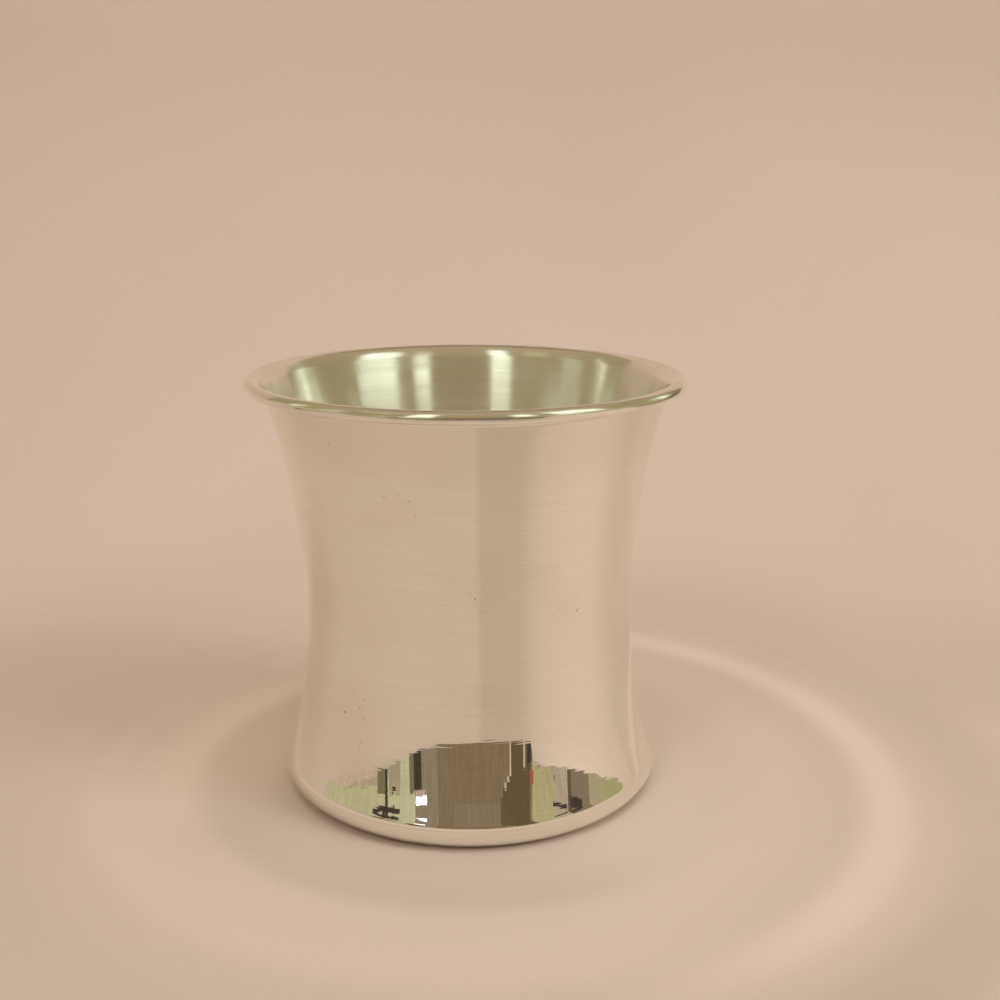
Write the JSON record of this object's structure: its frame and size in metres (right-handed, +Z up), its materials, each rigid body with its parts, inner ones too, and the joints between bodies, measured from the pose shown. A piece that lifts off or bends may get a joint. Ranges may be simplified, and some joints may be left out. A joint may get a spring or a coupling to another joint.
{
  "type": "ritual water cup",
  "caption": "Small silver ritual water cup with a narrow waist, a flared mouth with a beaded rim and a rounded flat foot.",
  "frame": {"origin": "middle of the flat underside, on the surface that the cup stands on", "axes": "+Z up along the cup's axis, towards the mouth; +X to the right and -Y to the front of the picture"},
  "size_m": [0.0744, 0.0744, 0.072],
  "materials": {
    "silver": "polished silver, brushed on the wheel, lightly tarnished"
  },
  "bodies": {
    "root": {"cup": "silver"}
  },
  "joints": []
}
